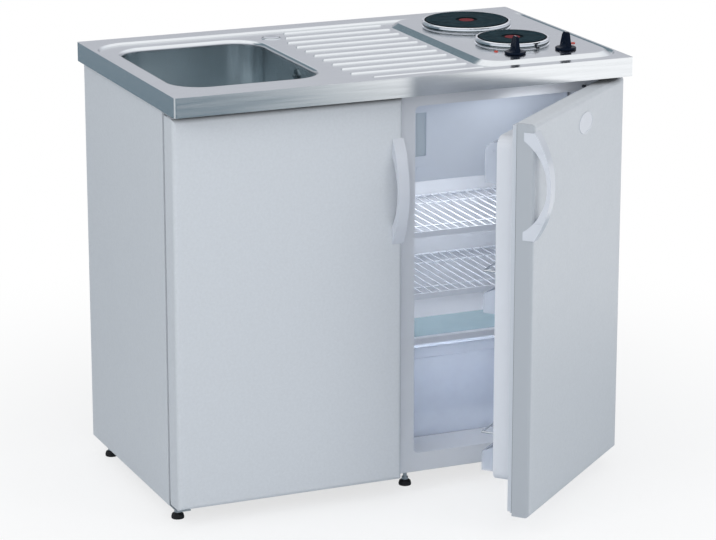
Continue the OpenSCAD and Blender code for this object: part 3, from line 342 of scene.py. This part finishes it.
def cap_steel(name, node):
    """Polished cover plate with a dark seam near its rim, painted dark enough to stand for its dark
    reflections too.
    """
    look = Look(name, CAP_STEEL, 0.14, 1.0)
    off = look.math("SUBTRACT", look.radius_from(*axis_of(node)), CAP_SEAM)
    # dark seam ring, painted dark also as the plate's reflections
    look.tint(look.math("ABSOLUTE", off), SEAM_AND_REFLECTION_BLACK, CAP_STEEL, *SEAM_FADE)
    look.gloss(look.noise(90, 3), 0.1, 0.2)
    look.bump(look.noise(220), strength=0.04, distance=0.0002)
    return look


def metal(name, color, roughness, metallic=1.0):
    """Plain bright or plated metal with faint unevenness."""
    look = Look(name, (*color, 1), roughness, metallic)
    look.tint(look.noise(25, 3), 0.94, 1.03)
    look.gloss(look.noise(60, 3), roughness * 0.8, roughness * 1.3)
    look.bump(look.noise(220), strength=0.05, distance=0.0002)
    return look


def grooved_chrome(name, node):
    """Bright rings with a painted reflection of the dark gap under the plate along their turned
    groove.
    """
    look = metal(name, (0.9, 0.92, 0.95), 0.06)
    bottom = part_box(node)[0][2]
    low, high = (bottom + up for up in GROOVE)
    # painted reflection of the dark gap, as a black band round the groove
    look.cover(look.inside(look.coord, (-1, -1, low), (1, 1, high)), GROOVE_REFLECTION_BLACK)
    return look


def hotplate(name, node):
    """Cast iron with a turned face: fine rings round its own axis, dark rim, painted shade in the
    middle well.
    """
    look = Look(name, IRON, 0.42, Specular_IOR_Level=0.005)
    radius = look.radius_from(*axis_of(node))
    low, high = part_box(node)
    edge = (high[0] - low[0]) / 2
    ring = look.math("SINE", look.math("MULTIPLY", radius, 2 * math.pi / TURNED_PITCH))
    look.bump(ring, strength=0.22, distance=0.00025)
    look.bump(look.noise(380, 3), strength=0.3, distance=0.0003)
    look.tint(look.noise(45, 4), 0.75, 1.3)
    look.cover(radius, RIM_DARK_WELL_SHADE, *(edge - fade for fade in RIM_FADE))
    # painted shade in the middle well
    look.cover(radius, RIM_DARK_WELL_SHADE, *WELL_FADE)
    look.gloss(look.noise(70, 3), 0.34, 0.5)
    return look


def pressed(name, color, roughness, size):
    """Pressed chips or foam, with a coarse mottle."""
    look = Look(name, color, roughness)
    look.tint(look.noise(size, 4, rough=0.8), 0.75, 1.15)
    look.bump(look.noise(size, 4), strength=0.6, distance=0.001)
    return look


# every look, with the nodes that wear it
LOOKS = (
    (
        painted("cabinet_paint", GREY_WHITE),
        "cabinet_side_left cabinet_side_right cabinet_floor cabinet_rails sink_door_skin"
        " sink_door_back fridge_case",
    ),
    (door_paint("door_paint", "fridge_door_skin"), "fridge_door_skin"),
    (
        steel(
            "worktop_steel", (0.7, 0.72, 0.74, 1), gloss=(0.13, 0.22), stretch=(0.12, 4, 4),
            grain=0.04, detail=4, mottle=0.05,
        ),
        "worktop",
    ),
    (
        steel(
            "bowl_steel", (0.56, 0.62, 0.65, 1), gloss=(0.26, 0.27), stretch=(1.5, 1.5, 0.25),
            grain=0.003, detail=1, mottle=0.012,
        ),
        "bowl",
    ),
    (metal("chrome_fittings", (0.75, 0.77, 0.8), 0.08), "drain_flange rack_rails"),
    (grooved_chrome("hotplate_ring_chrome", "hotplate_rings"), "hotplate_rings"),
    (cap_steel("cap_steel", "tap_hole_cap"), "tap_hole_cap"),
    (metal("rosette_steel", (0.2, 0.24, 0.26), 0.1), "overflow_rosette"),
    (
        metal("zinc_plate", (0.6, 0.62, 0.64), 0.38),
        "hotplate_clamps hinge_brackets hinge_pins foot_rods hob_tray",
    ),
    (metal("freezer_aluminium", (0.7, 0.73, 0.77), 0.42, 0.35), "freezer_box"),
    (hotplate("hotplate_iron_rear", "hotplate_rear"), "hotplate_rear"),
    (hotplate("hotplate_iron_front", "hotplate_front"), "hotplate_front"),
    (
        moulded("hotplate_enamel", srgb(122, 44, 50), 0.4, 0.2, Specular_IOR_Level=0.01),
        "hotplate_dots",
    ),
    (black("switch_black"), "lamp_switch_button"),
    (knob("knob_black_left", "hob_knob_left", 0), "hob_knob_left"),
    (knob("knob_black_right", "hob_knob_right", 10), "hob_knob_right"),
    (moulded("rubber_black", srgb(24, 24, 27), 0.7, 0.5), "sink_plug foot_pads"),
    (moulded("pilot_red", srgb(190, 62, 48), 0.15, 0.05), "pilot_lamps"),
    (
        moulded("white_plastic", srgb(214, 219, 228), 0.3, 0.08),
        "overflow_pipe drain_body waste_trap sink_door_bushes fridge_door_bushes thermostat_box"
        " thermostat_knob glass_shelf_trim hob_switches",
    ),
    (
        moulded("handle_plastic", srgb(206, 211, 220), 0.22, 0.03),
        "sink_door_handle fridge_door_handle door_badge",
    ),
    (moulded("liner_plastic", LINER_WHITE, 0.38, 0.03), "fridge_liner fridge_door_liner"),
    (flap("flap_plastic", "freezer_flap"), "freezer_flap"),
    (moulded("buffer_rubber", srgb(164, 170, 180), 0.55, 0.2), "sink_door_buffers"),
    (seal("door_seal", "fridge_door_gasket"), "fridge_door_gasket"),
    (clear("clear_plastic", CLEAR_BLUE, 0.16, 0.5), "dairy_box dairy_lid bottle_racks lamp_cover"),
    (clear("crisper_plastic", CLEAR_BLUE, 0.2, 0.5), "crisper"),
    (clear("glass_shelf", srgb(190, 216, 224), 0.1, 0.6), "glass_shelf"),
    (moulded("shelf_wire_coat", srgb(224, 229, 238), 0.3, 0.03), "wire_shelves"),
    # dark grey chipboard: painted shade for the black gap under the apron where the core shows; the
    # door filling wears it too
    (pressed("chipboard_painted_shade", srgb(58, 55, 52), 0.8, 220), "worktop_core sink_door_filling"),
    (pressed("pressed_foam", srgb(232, 216, 170), 0.9, 90), "fridge_foam fridge_door_foam"),
    (moulded("machine_black", srgb(30, 31, 34), 0.45, 0.4), "compressor condenser"),
)
bare = set(NODES)
for look, names in LOOKS:
    for name in names.split():
        slots = NODES[name].data.materials
        slots.clear()
        slots.append(look.material)
        bare.remove(name)
assert not bare, bare


# ---------------------------------------------------------------- floor, world, lights
SEEN = ("Is Camera Ray", "Is Glossy Ray", "Is Transmission Ray")


def joined(tree, operation, fields):
    """All fields put together by one operation."""
    total = fields[0]
    for field in fields[1:]:
        both = add_node(tree, "ShaderNodeMath", operation=operation)
        tree.links.new(total, both.inputs[0])
        tree.links.new(field, both.inputs[1])
        total = both.outputs["Value"]
    return total


def light_path(tree, *kinds):
    """1 for the named kinds of ray."""
    path = add_node(tree, "ShaderNodeLightPath")
    return joined(tree, "MAXIMUM", [path.outputs[kind] for kind in kinds])


def ramp(tree, field, stops):
    """Colours along a field, from (place, red, green, blue) stops."""
    made = add_node(tree, "ShaderNodeValToRGB")
    elements = made.color_ramp.elements
    while len(elements) < len(stops):
        elements.new(1.0)
    for element, (place, *color) in zip(elements, stops):
        element.position = place
        element.color = (*color, 1)
    tree.links.new(field, made.inputs["Fac"])
    return made.outputs["Color"]


def spread(tree, field, low, high, start=0.0, end=1.0):
    """Eased from one value at low to another at high."""
    made = add_node(tree, "ShaderNodeMapRange", interpolation_type="SMOOTHSTEP")
    edges = {"From Min": low, "From Max": high, "To Min": start, "To Max": end}
    for key, value in edges.items():
        made.inputs[key].default_value = value
    tree.links.new(field, made.inputs["Value"])
    return made.outputs["Result"]


def split_of(tree, kind):
    """A texture coordinate, and its X, Y and Z."""
    place = add_node(tree, "ShaderNodeSeparateXYZ")
    coord = add_node(tree, "ShaderNodeTexCoord").outputs[kind]
    tree.links.new(coord, place.inputs["Vector"])
    return coord, place.outputs


def make_floor():
    """Pale floor that keeps a light shadow near the unit and turns white away from it."""
    bpy.ops.mesh.primitive_plane_add(size=FLOOR_SIZE)
    floor = bpy.context.object
    floor.name = "floor"
    material = bpy.data.materials.new("floor_pale")
    material.use_nodes = True
    tree = material.node_tree
    link = tree.links.new
    shader = tree.nodes["Principled BSDF"]
    shader.inputs["Base Color"].default_value = srgb(247, 250, 253)
    shader.inputs["Roughness"].default_value = 0.9
    shader.inputs["Specular IOR Level"].default_value = 0.1
    coord, place = split_of(tree, "Object")
    far = add_node(tree, "ShaderNodeVectorMath", operation="LENGTH")
    link(coord, far.inputs[0])
    # white where it is seen, grey with white cards where the metal mirrors it
    cards = joined(tree, "MAXIMUM", [spread(tree, place["X"], *edges) for edges in CARDS])
    color = add_node(tree, "ShaderNodeMix", data_type="RGBA")
    link(light_path(tree, "Is Glossy Ray"), color.inputs["Factor"])
    color.inputs["A"].default_value = (1, 1, 1, 1)
    link(ramp(tree, cards, (FLOOR_MIRRORED, CARD_MIRRORED)), color.inputs["B"])
    glow = add_node(tree, "ShaderNodeEmission")
    link(color.outputs["Result"], glow.inputs["Color"])
    fade = spread(tree, far.outputs["Value"], *SHADOW_FADE, FLOOR_GLOW)
    mix = add_node(tree, "ShaderNodeMixShader")
    link(joined(tree, "MULTIPLY", [fade, light_path(tree, *SEEN)]), mix.inputs["Fac"])
    link(shader.outputs["BSDF"], mix.inputs[1])
    link(glow.outputs["Emission"], mix.inputs[2])
    link(mix.outputs["Shader"], tree.nodes["Material Output"].inputs["Surface"])
    floor.data.materials.append(material)


def make_world():
    """Even soft light; metal and glass see a studio, grey at the horizon and white overhead."""
    world = bpy.data.worlds.new("studio")
    bpy.context.scene.world = world
    world.use_nodes = True
    tree = world.node_tree
    link = tree.links.new
    soft = tree.nodes["Background"]
    soft.inputs["Color"].default_value = SOFT_LIGHT
    soft.inputs["Strength"].default_value = SOFT_STRENGTH
    place = split_of(tree, "Generated")[1]
    flag = add_node(tree, "ShaderNodeMix", data_type="RGBA")
    edges = [spread(tree, place[axis], low, high) for axis, low, high in FLAG_EDGES]
    link(joined(tree, "MULTIPLY", edges), flag.inputs["Factor"])
    link(ramp(tree, place["Z"], STUDIO), flag.inputs["A"])
    flag.inputs["B"].default_value = FLAG
    seen = add_node(tree, "ShaderNodeBackground")
    link(flag.outputs["Result"], seen.inputs["Color"])
    mix = add_node(tree, "ShaderNodeMixShader")
    link(light_path(tree, *SEEN), mix.inputs["Fac"])
    link(soft.outputs["Background"], mix.inputs[1])
    link(seen.outputs["Background"], mix.inputs[2])
    link(mix.outputs["Shader"], tree.nodes["World Output"].inputs["Surface"])


def area_light(name, place, target, size, power):
    data = bpy.data.lights.new(name, "AREA")
    data.shape = "RECTANGLE"
    data.size, data.size_y = size
    data.energy = power
    lamp = bpy.data.objects.new(name, data)
    lamp.location = place
    lamp.visible_glossy = lamp.visible_camera = False
    aim = Vector(target) - Vector(place)
    lamp.rotation_euler = aim.to_track_quat("-Z", "Y").to_euler()
    bpy.context.scene.collection.objects.link(lamp)


def make_camera():
    data = bpy.data.cameras.new("camera")
    data.sensor_width = SENSOR_WIDTH
    data.lens = FOCAL_PIXELS / PHOTO_WIDTH * SENSOR_WIDTH
    data.clip_start, data.clip_end = CAMERA_CLIP
    camera = bpy.data.objects.new("camera", data)
    camera.location = CAMERA_PLACE
    camera.rotation_euler = (math.pi / 2 + CAMERA_PITCH, 0, -CAMERA_YAW)
    bpy.context.scene.collection.objects.link(camera)
    bpy.context.scene.camera = camera


make_floor()
make_world()
for lamp in LAMPS:
    area_light(*lamp)
make_camera()
bpy.context.scene.view_settings.view_transform = "Standard"
